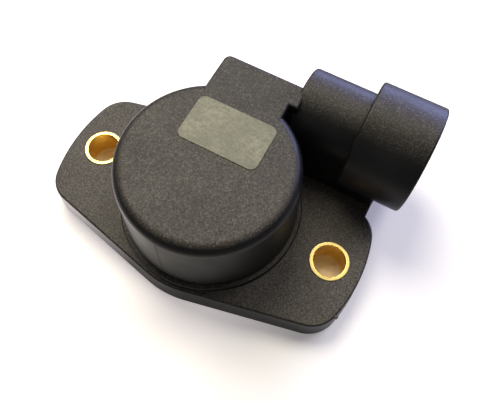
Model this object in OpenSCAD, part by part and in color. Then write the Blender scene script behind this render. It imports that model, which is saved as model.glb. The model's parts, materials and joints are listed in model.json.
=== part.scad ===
// Throttle position sensor with a two-hole flange, a round drum and a side connector.
// Millimetres. Origin on the drum's axis at the mounting face, +Z up through the drum,
// X along the line of the two holes, connector mouth towards +X.

/* [Flange] */
// Distance between the two mounting holes
hole_spacing = 46; // [40:0.5:54]
// Thickness of the flange
flange_t = 5.2; // [4:0.1:7]
// Material from a hole's middle out to the flange's end arc
end_margin = 6.3; // [4.5:0.1:8]
// Radius of the four flange corners
corner_r = 5.9; // [3:0.1:7]
// Radius of the waist that the straight sides touch
waist_r = 17.1; // [16.4:0.1:19]
// Slope of the straight sides away from the arm
side_slope = 12.5; // [8:0.5:20]
// Slope of the straight sides beside the arm
back_slope = 14.2; // [8:0.1:20]
// Height of the step along the flange's top edge
flange_edge = 0.4; // [0.2:0.1:0.8]
// X of the straight edge beside the connector block
shelf_x = 25.3; // [24:0.1:27]

/* [Bushes] */
// Outside diameter of a brass bush
bush_od = 7; // [6.6:0.1:8]
// Bore of a brass bush
bush_bore = 5.6; // [5.2:0.1:6]
// Length of a brass bush
bush_len = 5.35; // [4:0.05:7]
// Chamfer at both ends of the bush
bush_chamfer = 0.2; // [0.1:0.05:0.4]

/* [Drum] */
// Height of the drum's top above the mounting face
drum_h = 20.9; // [18:0.1:24]
// Radius of the drum's wall just under the rounded rim
drum_top_r = 14.65; // [13.5:0.05:15]
// Radius of the drum's wall at its foot
drum_foot_r = 15.2; // [14:0.1:16]
// Rounding of the drum's top rim
rim_r = 1.8; // [1:0.1:2.5]
// Radius of the low ring round the drum's foot
foot_ring_r = 16; // [15.6:0.1:17]
// Height of the low ring above the flange
foot_ring_h = 0.9; // [0.5:0.1:1.5]
// Radius of the cavity inside the drum
cavity_r = 12; // [11:0.1:13]
// Width of the ledge that the board rests against
ledge_w = 1; // [0.6:0.1:1.6]
// Thickness of the drum's top
roof_t = 2.2; // [1.6:0.1:3]

/* [Arm] */
// Left side of the arm
arm_x0 = -7.2; // [-10:0.1:-6]
// Right side of the arm
arm_x1 = 6.2; // [4.5:0.1:7]
// Far face of the arm
arm_y1 = 19.2; // [18:0.1:22]
// Front face of the neck beside the socket
neck_y = 15.1; // [14.6:0.1:18]
// Wall of the arm round its cavity
arm_wall = 1.5; // [1:0.1:2]
// Rounding of the arm's far corners
arm_corner = 1.2; // [0.4:0.1:2]
// Chamfer along the arm's top edges
arm_edge = 0.5; // [0.2:0.1:1]

/* [Connector] */
// Y of the socket's axis
sock_y = 19.92; // [18:0.02:23]
// Height of the socket's axis as a share of the drum's height
sock_ratio = 0.6823; // [0.6:0.0001:0.75]
// Outside radius of the plain barrel
barrel_r = 7.1; // [6:0.05:8]
// Outside radius of the collar
collar_r = 9.35; // [8:0.01:10]
// X of the barrel's closed end
barrel_x0 = 6.88; // [5:0.01:9]
// X where the collar starts
collar_x0 = 18.05; // [16:0.01:21]
// X of the mouth
mouth_x = 29.4; // [26:0.1:33]
// Rounding of the barrel's and collar's edges
sock_edge = 0.5; // [0.2:0.1:1]
// Bore of the socket inside the collar
mouth_bore_r = 7.6; // [7:0.1:8.2]
// Bore of the socket inside the plain barrel
deep_bore_r = 5.5; // [4.5:0.1:6]
// X of the socket's floor
floor_x = 11.4; // [10:0.1:13]
// X where the wide bore ends
wide_x = 19.8; // [19:0.1:22]
// Width of a keying rib in the socket
key_w = 1.5; // [1:0.1:2.5]
// Height of a keying rib in the socket
key_h = 1; // [0.5:0.1:1.5]
// Wall round the core pockets under the barrel
core_wall = 1.4; // [1:0.1:2]

/* [Terminals] */
// Thickness of the terminal strip
strip_t = 0.8; // [0.5:0.05:1]
// Width of the strip inside the arm
strip_w = 0.8; // [0.6:0.05:1]
// Width of a contact blade in the socket
blade_w = 1.6; // [1:0.1:2.8]
// Distance between neighbouring blades
blade_pitch = 3.2; // [2.5:0.1:4]
// X of the blade tips
blade_x = 22.9; // [20:0.1:26]
// Distance between neighbouring strips on the board
strip_pitch = 3; // [2.4:0.1:3.4]
// Step between the bends of neighbouring strips
strip_step = 1.2; // [1:0.1:1.5]
// Overlap of a strip's inner end on the board
strip_lap = 1.8; // [1.4:0.1:2.2]

/* [Rotor] */
// Radius of the hub
hub_r = 6; // [5:0.1:7]
// Radius of the spindle socket
drive_r = 4; // [3:0.1:4.5]
// Distance of the socket's flat from the axis
drive_flat = 2.9; // [2.5:0.1:3.5]
// Depth of the spindle socket
drive_depth = 6; // [4:0.1:7]
// Width of the rotor's flange beyond the hub
rotor_flange_w = 2.4; // [1.5:0.1:3]
// Outer radius of the stop lug
lug_r = 11.5; // [10:0.1:11.7]
// Middle of the stop lug at rest
lug_angle = -40; // [-60:1:-20]
// Width of the stop lug
lug_span = 14; // [8:1:20]
// Travel of the rotor
travel = 95; // [80:1:110]
// Wall of the bearing boss round the upper journal
boss_wall = 2.2; // [1.5:0.1:2.6]
// Half length of a wiper finger
finger = 3.2; // [2.5:0.1:3.6]

/* [Spring] */
// Gap between the hub and the first turn
spring_gap = 0.25; // [0.1:0.05:0.6]
// Outer radius of the spiral
spring_r1 = 10.2; // [9:0.1:10.6]
// Number of turns
spring_turns = 3.5; // [2:0.5:5]
// Thickness of the strip
spring_t = 0.35; // [0.2:0.05:0.5]

/* [Seals] */
// Section radius of the ring round the rotor
oring_r = 0.64; // [0.5:0.02:0.7]
// Distance from the hub's wall to the middle of the face seal
seal_off = 3.3; // [3:0.1:4.5]
// Width of the face seal
seal_w = 2; // [1.4:0.1:2.4]
// Height of the face seal
seal_h = 1.35; // [1:0.05:1.6]

/* [Element] */
// Gap between the board's edge and the cavity's wall
board_gap = 0.4; // [0.2:0.1:1]
// Thickness of the board
board_t = 0.8; // [0.5:0.05:1.2]
// Thickness of a printed layer
print_t = 0.05; // [0.03:0.01:0.1]
// Distance from the board's edge to the resistive track
track_edge = 1.7; // [1.2:0.05:2]
// Gap between the two tracks
track_gap = 0.85; // [0.5:0.05:1.2]
// Width of a track
track_w = 1.5; // [1:0.1:1.8]

/* [Label] */
// Length of the label
label_l = 13.7; // [10:0.1:16]
// Width of the label
label_w = 8.4; // [6:0.1:10]
// Rounding of the label's corners
label_r = 1.2; // [0.5:0.1:2]
// Thickness of the label
label_t = 0.12; // [0.05:0.01:0.3]
// X of the label's middle
label_x = 0.18; // [-3:0.02:3]
// Y of the label's middle
label_y = 5.85; // [4:0.05:8]

/* [Clearances] */
// Gap round a part that is set into a pocket
set_gap = 0.08; // [0.02:0.01:0.2]
// Gap round an insert held by the moulding
insert_gap = 0.02; // [0.01:0.01:0.05]
// Radial gap of a running fit
run_gap = 0.05; // [0.02:0.01:0.1]
// End gap between a moving and a fixed face
end_gap = 0.1; // [0.05:0.05:0.3]
// Gap at the rotor's two stops, in degrees
stop_gap = 0.6; // [0.2:0.1:2]

/* [Hidden] */
$fn = 96;
half = hole_spacing / 2;
end_r = half + end_margin;
sock_z = drum_h * sock_ratio;
board_r = cavity_r - board_gap;
pocket_r = board_r - ledge_w;
track_r = board_r - track_edge - track_w / 2;
collector_r = track_r - track_w - track_gap;
board_hole_r = collector_r - track_w / 2 - track_edge / 2;
strip_z = sock_z - strip_t / 2;
strip_y0 = board_r - strip_lap;
strip_x = [for (i = [-1:1]) (arm_x0 + arm_x1) / 2 + i * strip_pitch];
rivet_r = 0.3;
rivet_y = strip_y0 + 0.3 * strip_lap;
board_z = strip_z + strip_t + print_t;
ledge_z = board_z + board_t;
roof_z = drum_h - roof_t;
plate_z0 = 0.2;
plate_t = 2.4;
seal_z = plate_z0 / 4;
plate_z1 = plate_z0 + plate_t;
plate_r = cavity_r + 1.5;
arm_lip = 0.8;
room = board_z - plate_z1;
washer_t = 0.35;
flange_z = plate_z1 + washer_t + end_gap;
flange_th = 0.1 * room;
spring_z = flange_z + flange_th + 0.04 * room;
spring_h = 0.16 * room;
carrier_z = spring_z + spring_h + 0.06 * room;
carrier_t = 0.14 * room;
carrier_r = 1.2 * hub_r;
spigot_r = hub_r - 1;
rotor_flange_r = hub_r + rotor_flange_w;
spring_r0 = hub_r + spring_gap;
seal_r = hub_r + seal_off;
hub_top = carrier_z + carrier_t + 0.1 * room;
boss_z = board_z - 0.147 * room;
boss_r = board_hole_r - 0.5;
journal_r = boss_r - boss_wall;
wiper_a = 165;
wiper_t = 0.2;
neck_r = barrel_r - 0.4;
lap = 1;
core_rib = 1.2;
core_n = 3;
core_w = barrel_r - core_wall - core_rib / 2;
core_l = (shelf_x - barrel_x0 - 2 * core_wall - (core_n - 1) * 1.5 * core_rib) / core_n;
arm_in = [arm_x0 + arm_wall, arm_x1 - arm_wall, arm_y1 - arm_wall];
corner_d = end_r - corner_r;
corner_a = [for (q = [side_slope, back_slope]) 90 - q - acos((waist_r - corner_r) / corner_d)];
side_n = [for (q = [side_slope, back_slope]) [sin(q), cos(q)]];
e = 0.01;

function polar(r, a) = [r * cos(a), r * sin(a)];
function arc(r, a0, a1, n = 24) = [for (i = [0:n]) polar(r, a0 + (a1 - a0) * i / n)];
function fillet(cx, cy, r, a0, a1, n = 8) = [for (p = arc(r, a0, a1, n)) [cx + p[0], cy + p[1]]];

// Ring segment between two radii and two angles
module sector(r0, r1, a0, a1, z0, z1) {
    translate([0, 0, z0]) linear_extrude(z1 - z0)
        polygon(concat(arc(r1, a0, a1), arc(r0, a1, a0)));
}

// Ring with exact round walls
module ring(r0, r1, z0, z1) {
    difference() {
        translate([0, 0, z0]) cylinder(r = r1, h = z1 - z0);
        translate([0, 0, z0 - 1]) cylinder(r = r0, h = z1 - z0 + 2);
    }
}

// Turned shape about the socket's axis; points are [distance along X, radius]
module turned_x(points) {
    translate([0, sock_y, sock_z]) rotate([90, 0, 90])
        rotate_extrude() polygon([for (p = points) [p[1], p[0]]]);
}

// Middle of a flange corner: sx is its side, m is 0 away from the arm and 1 beside it
function corner_c(sx, m) = [sx * corner_d * cos(corner_a[m]), (2 * m - 1) * corner_d * sin(corner_a[m])];
// Corners of the flange's straight-sided middle, set in by c
function middle(c) = [for (m = [0, 1]) each [for (sx = (m == 0 ? [-1, 1] : [1, -1])) each
    let (n = [sx * side_n[m][0], (2 * m - 1) * side_n[m][1]],
        w = (waist_r - c) * n, k = corner_c(sx, m) + (corner_r - c) * n, i = corner_c(sx, m))
    (m == 0) == (sx < 0) ? [i, k, w] : [w, k, i]]];

// Flange layer whose outline is set in by c
module flange_layer(z0, h, c) {
    translate([0, 0, z0]) {
        cylinder(r = waist_r - c, h = h);
        for (sx = [-1, 1], m = [0, 1]) translate(corner_c(sx, m)) cylinder(r = corner_r - c, h = h);
        linear_extrude(h) polygon(middle(c));
        for (m = [0, 1]) mirror([m, 0, 0]) linear_extrude(h)
            polygon(concat([[0, 0]], arc(end_r - c, -corner_a[0], corner_a[1], 32)));
    }
}

module flange() {
    flange_layer(0, flange_t - flange_edge, 0);
    flange_layer(flange_t - flange_edge - e, flange_edge + e, flange_edge);
    translate([waist_r / 2, corner_r, 0])
        cube([shelf_x - waist_r / 2, sock_y - barrel_r + lap - corner_r, flange_t]);
}

module drum_solid() {
    zf = flange_t + foot_ring_h;
    rotate_extrude($fn = 128) polygon(concat([[0, 0], [foot_ring_r + 0.15, 0], [foot_ring_r, zf - 0.25],
        [foot_ring_r - 0.25, zf], [drum_foot_r, zf]],
        fillet(drum_top_r - rim_r, drum_h - rim_r, rim_r, 0, 90), [[0, drum_h]]));
}

module arm_block(x0, x1, y1, h) {
    r = arm_corner;
    linear_extrude(h) polygon(concat([[x0, 0]], [[x1, 0]], [[x1, y1]],
        [for (p = arc(r, 90, 180, 6)) [x0 + r + p[0], y1 - r + p[1]]]));
}

module arm_solid() {
    hull() {
        arm_block(arm_x0, arm_x1, arm_y1, drum_h - arm_edge);
        arm_block(arm_x0 + arm_edge, arm_x1, arm_y1 - arm_edge, drum_h);
    }
    hull() {
        translate([0, neck_y, 0]) cube([barrel_x0 + lap, arm_y1 - neck_y, drum_h - arm_edge]);
        translate([0, neck_y, 0]) cube([barrel_x0 + lap, arm_y1 - neck_y - arm_edge, drum_h]);
    }
}

module barrel_solid() {
    f = sock_edge;
    turned_x(concat([[barrel_x0, 0]], fillet(barrel_x0 + f, barrel_r - f, f, 180, 90, 4),
        [[collar_x0, barrel_r]],
        fillet(collar_x0 + f, collar_r - f, f, 180, 90, 4),
        fillet(mouth_x - f, collar_r - f, f, 90, 0, 4), [[mouth_x, 0]]));
    translate([barrel_x0, sock_y - barrel_r, 0]) cube([shelf_x - barrel_x0, 2 * barrel_r, sock_z]);
    intersection() {
        translate([0, sock_y - neck_r, 0])
            cube([barrel_x0 + lap, arm_y1 - arm_edge - sock_y + neck_r, drum_h]);
        union() {
            translate([0, sock_y, sock_z]) rotate([0, 90, 0]) cylinder(r = neck_r, h = barrel_x0 + lap);
            cube([barrel_x0 + lap, arm_y1, sock_z]);
        }
    }
}

// Inner space of drum and arm, grown by g
module cavity(z0, z1, g = 0) {
    translate([0, 0, z0]) {
        cylinder(r = cavity_r + g, h = z1 - z0);
        translate([arm_in[0] - g, 0, 0]) cube([arm_in[1] - arm_in[0] + 2 * g, arm_in[2] + g, z1 - z0]);
    }
}

// Flat strip number i, counted from the arm's far wall, from the board to the socket
module terminal(i, g = 0) {
    x = strip_x[i];
    row = arm_in[2] - strip_w / 2 - 0.1 - i * strip_step;
    jog = barrel_x0 + strip_w / 2 + 0.27 + i * strip_step;
    y = sock_y + (1 - i) * blade_pitch;
    w = strip_w / 2 + g;
    b = blade_w / 2 + g;
    translate([0, 0, strip_z - g]) linear_extrude(strip_t + 2 * g)
        polygon([[x - w, strip_y0], [x + w, strip_y0], [x + w, row - w], [jog + w, row - w],
            [jog + w, y - b], [blade_x - 1, y - b], [blade_x, y - b * 0.4], [blade_x, y + b * 0.4],
            [blade_x - 1, y + b], [jog - w, y + b], [jog - w, row + w], [x - w, row + w]]);
}

module terminal_rear(g = 0) color([0.78, 0.74, 0.62])
    terminal(0, g);
module terminal_middle(g = 0) color([0.78, 0.74, 0.62])
    terminal(1, g);
module terminal_front(g = 0) color([0.78, 0.74, 0.62])
    terminal(2, g);

module housing() {
    color([0.12, 0.12, 0.12]) difference() {
        union() {
            flange();
            drum_solid();
            arm_solid();
            barrel_solid();
        }
        cavity(-1, ledge_z);
        translate([0, 0, ledge_z - 1]) cylinder(r = pocket_r, h = roof_z - ledge_z + 1);
        closure_shape(-1, plate_z1, 0);
        for (s = [-1, 1]) translate([s * half, 0, -1])
            cylinder(r = bush_od / 2 + insert_gap, h = flange_t + 2);
        turned_x([[floor_x, 0], [floor_x, deep_bore_r], [wide_x, deep_bore_r], [wide_x, mouth_bore_r],
            [mouth_x - 0.4, mouth_bore_r], [mouth_x + 1, mouth_bore_r + 1.4], [mouth_x + 1, 0]]);
        for (i = [0:core_n - 1], y = [sock_y - core_rib / 2 - core_w, sock_y + core_rib / 2]) {
            bore = i < core_n - 1 ? deep_bore_r : mouth_bore_r;
            translate([barrel_x0 + core_wall + i * (core_l + 1.5 * core_rib), y, -1])
                cube([core_l, core_w, sock_z - bore - 1.4 * core_wall + 1]);
        }
        terminal_rear(insert_gap);
        terminal_middle(insert_gap);
        terminal_front(insert_gap);
        sector(cavity_r - 1, cavity_r + 0.9, spring_end - 2, spring_end + 4, -1, spring_z + spring_h + 0.3);
    }
    color([0.12, 0.12, 0.12]) {
        difference() {
            translate([0, 0, boss_z]) cylinder(r = boss_r, h = roof_z - boss_z + e);
            translate([0, 0, boss_z - 1]) cylinder(r = journal_r + run_gap, h = roof_z - boss_z + 0.2);
        }
        for (a = [lug_angle - lug_span / 2 - stop_gap - 9, lug_angle + lug_span / 2 + travel + stop_gap])
            sector(cavity_r - 1.8, cavity_r + 0.5, a, a + 9, plate_z1, flange_z + flange_th + 0.2);
        for (a = [0, 115, 245]) translate([0, sock_y, sock_z]) rotate([a, 0, 0])
            translate([wide_x - lap, -key_w / 2, mouth_bore_r - key_h])
                cube([mouth_x - wide_x - lap / 2, key_w, 1.4 * key_h]);
    }
}

spring_end = 200 + 360 * (spring_turns - floor(spring_turns));

// Outline of the closure plate, set back by g
module closure_shape(z0, z1, g) {
    translate([0, 0, z0]) {
        cylinder(r = plate_r - g, h = z1 - z0);
        translate([arm_in[0] - arm_lip + g, 0, 0])
            cube([arm_in[1] - arm_in[0] + 2 * (arm_lip - g), arm_in[2] + arm_lip - g, z1 - z0]);
    }
}

module closure_plate() {
    color([0.16, 0.16, 0.16]) difference() {
        closure_shape(plate_z0, plate_z1, set_gap);
        translate([0, 0, -1]) cylinder(r = hub_r + run_gap, h = 5);
        translate([0, 0, plate_z1 - 2 * oring_r - set_gap])
            cylinder(r = hub_r + 2 * oring_r + 2 * set_gap, h = plate_z1);
        ring(seal_r - seal_w / 2 - set_gap, seal_r + seal_w / 2 + set_gap, -1, seal_z + seal_h + set_gap);
    }
}

module face_seal() {
    a = seal_r - seal_w / 2;
    b = seal_r + seal_w / 2;
    c = seal_w / 5;
    color([0.1, 0.1, 0.11]) translate([0, 0, seal_z]) rotate_extrude() polygon([[a, seal_h], [a, c],
        [a + c, 0], [b - c, 0], [b, c], [b, seal_h]]);
}

module rotor_seal() {
    color([0.08, 0.08, 0.08]) rotate_extrude()
        translate([hub_r + oring_r + set_gap, plate_z1 - oring_r - set_gap / 2, 0])
            circle(r = oring_r, $fn = 32);
}

module thrust_washer() {
    color([0.75, 0.75, 0.76]) ring(hub_r + 4 * run_gap, rotor_flange_r, plate_z1 + e, plate_z1 + washer_t);
}

module rotor() {
    color([0.8, 0.79, 0.74]) difference() {
        union() {
            translate([0, 0, 2 * plate_z0]) cylinder(r = hub_r, h = carrier_z - 2 * plate_z0);
            translate([0, 0, flange_z]) cylinder(r = rotor_flange_r, h = flange_th);
            sector(rotor_flange_r - 1, lug_r, lug_angle - lug_span / 2, lug_angle + lug_span / 2,
                flange_z, flange_z + flange_th);
            translate([0, 0, carrier_z - e]) cylinder(r = spigot_r, h = hub_top - carrier_z);
            translate([0, 0, hub_top - 1]) cylinder(r = journal_r, h = roof_z - hub_top + 1 - 1);
        }
        difference() {
            translate([0, 0, -1]) cylinder(r = drive_r, h = drive_depth + 2 * plate_z0 + 1);
            translate([drive_flat, -hub_r, -2]) cube([hub_r, 2 * hub_r, 2 * hub_r]);
        }
        rotate([0, 0, 201.5]) translate([hub_r - 0.9, -0.25, spring_z - 0.1]) cube([2, 0.5, spring_h + 1]);
    }
}

module wiper_carrier() {
    color([0.2, 0.2, 0.21]) difference() {
        union() {
            ring(spigot_r + insert_gap, carrier_r, carrier_z, carrier_z + carrier_t);
            sector(hub_r, track_r + 0.7 * track_w, wiper_a - 45, wiper_a + 30,
                carrier_z, carrier_z + carrier_t);
        }
        translate([0, 0, -1]) cylinder(r = spigot_r + insert_gap, h = drum_h);
    }
}

// One brush of the wiper: side view along the track, w wide, its tip over radius r
module brush(r, w) {
    z0 = carrier_z + carrier_t;
    z1 = board_z - print_t - insert_gap;
    t = wiper_t;
    f = finger;
    x = sqrt(r * r - 0.88 * f * f);
    rotate([0, 0, wiper_a]) translate([x + w / 2, 0, 0]) rotate([90, 0, -90]) linear_extrude(w)
        polygon([[f, z0], [f, z0 + t], [0.4 * f, z0 + t], [-0.78 * f, z1 - 0.156 * f], [-0.875 * f, z1],
            [-f, z1], [-1.125 * f, z1 - 0.19 * f], [-1.06 * f, z1 - 0.2 * f], [-0.97 * f, z1 - 0.08 * f],
            [-0.905 * f, z1 - 0.08 * f], [-0.83 * f, z1 - 0.22 * f], [0.44 * f, z0]]);
}

module wiper() {
    color([0.85, 0.72, 0.4]) {
        k = 0.19 * track_w;
        w = 0.3 * track_w;
        for (r = [collector_r, track_r], s = [-1, 1]) brush(r + s * k, w);
        x0 = sqrt(pow(collector_r - k, 2) - 0.88 * finger * finger) - w / 2;
        x1 = sqrt(pow(track_r + k, 2) - 0.88 * finger * finger) + w / 2;
        rotate([0, 0, wiper_a]) translate([x0, -finger, carrier_z + carrier_t])
            cube([x1 - x0, 0.56 * finger, wiper_t]);
    }
}

// Flat spiral; the inner end sits in the hub's slot and the outer end in the housing's slot
module return_spring() {
    n = round(spring_turns * 36);
    a0 = 200;
    function rr(i) = spring_r0 + (spring_r1 - spring_r0) * i / n;
    function aa(i) = a0 + 360 * spring_turns * i / n;
    color([0.6, 0.61, 0.63]) translate([0, 0, spring_z]) linear_extrude(spring_h)
        polygon(concat([polar(hub_r - 0.7, a0 + 3), polar(spring_r0, a0 + 3)],
            [for (i = [1:n]) polar(rr(i), aa(i))],
            [polar(rr(n), aa(n) + 1.8), polar(cavity_r + 0.6, aa(n) + 1.8), polar(cavity_r + 0.6, aa(n))],
            [for (i = [0:n - 1]) polar(rr(n - i) + spring_t, aa(n - i))],
            [polar(spring_r0 + spring_t, a0), polar(hub_r - 0.7, a0)]));
}

module preload_washer() {
    a = journal_r + 4 * run_gap;
    b = boss_r - 4 * run_gap;
    c = 0.26;
    color([0.62, 0.63, 0.65]) rotate_extrude()
        polygon([[a, hub_top + e], [a + c, hub_top + e], [b, boss_z - e - c], [b, boss_z - e],
            [b - c, boss_z - e], [a, hub_top + e + c]]);
}

module element_board() {
    color([0.85, 0.84, 0.78]) difference() {
        translate([0, 0, board_z]) cylinder(r = board_r, h = board_t);
        translate([0, 0, board_z - 1]) cylinder(r = board_hole_r, h = board_t + 2);
        rivet_holes();
    }
}

module rivet_holes() for (x = strip_x) translate([x, rivet_y, board_z - 1])
    cylinder(r = rivet_r + insert_gap, h = 3, $fn = 24);

module print(r0, r1, a0, a1) sector(r0, r1, a0, a1, board_z - print_t, board_z);

module resistive_track() color([0.06, 0.06, 0.07])
    print(track_r - track_w / 2, track_r + track_w / 2, 175, 325);
module collector_track() color([0.3, 0.3, 0.32])
    print(collector_r - track_w / 2, collector_r + track_w / 2, 175, 325);

module conductor_traces() {
    w = track_w / 2 - 0.2;
    edge = board_r - 0.3;
    color([0.8, 0.8, 0.82]) difference() {
        union() {
            print(track_r - w, track_r + w, 105.3, 174.8);
            print(track_r - w, edge, 105.3, 112.3);
            print(collector_r - w, collector_r + w, 90, 174.8);
            print(collector_r - w, edge, 89.3, 96.3);
            print(track_r - w, track_r + w, 325.2, 440);
            print(track_r - w, edge, 433, 440);
        }
        rivet_holes();
    }
}

module board_rivets() {
    color([0.72, 0.72, 0.7]) for (x = strip_x) translate([x, rivet_y, strip_z + strip_t + 0.01])
        cylinder(r = rivet_r, h = board_z + board_t - strip_z - strip_t - 0.02, $fn = 24);
}

module label() {
    color([0.62, 0.64, 0.58]) translate([label_x, label_y, drum_h + e]) linear_extrude(label_t)
        offset(r = label_r) square([label_l - 2 * label_r, label_w - 2 * label_r], center = true);
}

module mount_bushes() {
    c = bush_chamfer;
    color([0.85, 0.68, 0.32]) for (s = [-1, 1]) translate([s * half, 0, 0])
        rotate_extrude() polygon([[bush_bore / 2, c], [bush_bore / 2 + c, 0], [bush_od / 2, 0],
            [bush_od / 2, bush_len - c], [bush_od / 2 - c, bush_len], [bush_bore / 2 + c, bush_len],
            [bush_bore / 2, bush_len - c]]);
}

housing();
mount_bushes();
label();
closure_plate();
face_seal();
rotor_seal();
thrust_washer();
rotor();
wiper_carrier();
wiper();
return_spring();
preload_washer();
element_board();
resistive_track();
collector_track();
conductor_traces();
board_rivets();
terminal_rear();
terminal_middle();
terminal_front();
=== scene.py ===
"""Throttle position sensor: the pieces that show, their finishes and a plain studio.

Modelled in millimetres about the drum's axis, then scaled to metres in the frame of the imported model.
"""

import json
import math

import bpy
from mathutils import Matrix, Vector


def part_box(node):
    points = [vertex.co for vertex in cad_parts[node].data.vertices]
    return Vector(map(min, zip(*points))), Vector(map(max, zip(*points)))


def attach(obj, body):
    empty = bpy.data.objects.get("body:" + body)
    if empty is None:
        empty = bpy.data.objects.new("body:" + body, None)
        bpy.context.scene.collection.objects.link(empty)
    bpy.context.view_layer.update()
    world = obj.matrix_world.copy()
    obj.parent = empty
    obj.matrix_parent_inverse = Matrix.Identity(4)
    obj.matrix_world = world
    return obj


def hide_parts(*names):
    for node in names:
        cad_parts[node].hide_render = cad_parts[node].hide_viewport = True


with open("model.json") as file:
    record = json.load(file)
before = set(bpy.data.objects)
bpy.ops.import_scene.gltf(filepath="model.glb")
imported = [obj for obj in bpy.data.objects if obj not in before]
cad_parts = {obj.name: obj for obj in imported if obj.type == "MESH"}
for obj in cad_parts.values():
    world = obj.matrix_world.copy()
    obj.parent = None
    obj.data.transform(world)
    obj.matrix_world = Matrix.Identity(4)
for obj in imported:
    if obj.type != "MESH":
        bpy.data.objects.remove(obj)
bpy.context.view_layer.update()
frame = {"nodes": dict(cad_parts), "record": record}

bl_info = {
    "name": "Throttle position sensor",
    "version": (1, 0, 0),
    "blender": (4, 5, 0),
    "location": "3D View > Sidebar > Sensor",
    "description": "Builds the moulded housing, the fittings, the finishes and the studio of a throttle sensor",
    "category": "Object",
}

MM = 1000.0  # millimetres in a metre
PLATE_LOW, PLATE_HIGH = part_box("closure_plate")
LABEL_LOW, LABEL_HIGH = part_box("label")
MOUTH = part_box("housing")[1].x


def length(name, text, default, low=0.0, high=0.1):
    return bpy.props.FloatProperty(
        name=name, description=text, default=default, min=low, max=high, precision=5, unit="LENGTH")


def colour(name, text, default):
    return bpy.props.FloatVectorProperty(
        name=name, description=text, default=default, min=0.0, max=1.0, size=3, subtype="COLOR")


# Settings


class HousingSizes(bpy.types.PropertyGroup):
    """Sizes of the moulded housing"""

    hole_spacing: length("Hole spacing", "Distance between the two mounting holes", 0.046)
    flange_height: length("Flange height", "Thickness of the flange", 0.0052)
    end_radius: length("End radius", "Radius of the flange's end arcs at its top, about the drum's axis", 0.0289)
    corner_radius: length("Corner radius", "Radius of the four flange corners at its top", 0.0055)
    waist_radius: length("Waist radius", "Radius that the flange's straight sides touch at its top", 0.0167)
    draft: length("Draft", "Growth of the flange's outline from its top to its bottom", 0.00039)
    side_slope: bpy.props.FloatProperty(
        name="Side slope", description="Slope of the flange's straight sides away from the arm",
        default=math.radians(12.5), subtype="ANGLE")
    back_slope: bpy.props.FloatProperty(
        name="Back slope", description="Slope of the flange's straight sides beside the arm",
        default=math.radians(14.2), subtype="ANGLE")
    drum_height: length("Drum height", "Height of the drum's top", 0.0209)
    drum_top: length("Drum top radius", "Radius of the drum's wall under the rim", 0.01465)
    drum_foot: length("Drum foot radius", "Radius of the drum's wall at its foot", 0.0152)
    rim: length("Rim rounding", "Rounding of the drum's top rim", 0.0018)
    ring_radius: length("Foot ring radius", "Radius of the low ring round the drum's foot", 0.016)
    ring_height: length("Foot ring height", "Height of the low ring above the flange", 0.0009)
    cavity: length("Cavity radius", "Radius of the space inside the drum", 0.012)
    arm_left: length("Arm left side", "X of the arm's left side", -0.0072, low=-0.02)
    arm_right: length("Arm right side", "X of the arm's right side", 0.0064)
    arm_back: length("Arm back", "Y of the arm's far face", 0.0192)
    neck_front: length("Neck front", "Y of the neck's front face", 0.0149)
    socket_y: length("Socket Y", "Y of the socket's axis", 0.01992)
    socket_z: length("Socket height", "Height of the socket's axis", 0.014258)
    barrel: length("Barrel radius", "Radius of the plain barrel", 0.0071)
    collar: length("Collar radius", "Radius of the collar", 0.00935)
    barrel_start: length("Barrel start", "X of the barrel's closed end", 0.00688)
    collar_start: length("Collar start", "X where the collar starts", 0.01805)
    mouth: length("Mouth", "X of the socket's mouth", MOUTH)
    shelf: length("Shelf", "X of the straight edge beside the connector block", 0.0253)


class FittingSizes(bpy.types.PropertyGroup):
    """Sizes of the fittings that show"""

    bush_outer: length("Bush radius", "Outside radius of a bush", 0.0035)
    bush_bore: length("Bush bore", "Bore radius of a bush", 0.0028)
    bush_height: length("Bush height", "Length of a bush", 0.00535)
    label_rounding: length("Label rounding", "Rounding of the label's corners", 0.0012)
    blade_width: length("Blade width", "Width of a contact blade", 0.0016)
    blade_pitch: length("Blade pitch", "Distance between neighbouring blades", 0.0032)
    strip_thickness: length("Strip thickness", "Thickness of the terminal strip", 0.0008)
    hub: length("Hub radius", "Radius of the rotor's hub", 0.006)
    spindle: length("Spindle socket radius", "Radius of the spindle socket", 0.004)
    spindle_flat: length("Spindle flat", "Distance of the socket's flat from the axis", 0.0029)
    seal_middle: length("Face seal radius", "Middle radius of the face seal", 0.0093)
    seal_width: length("Face seal width", "Width of the face seal", 0.002)


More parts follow.
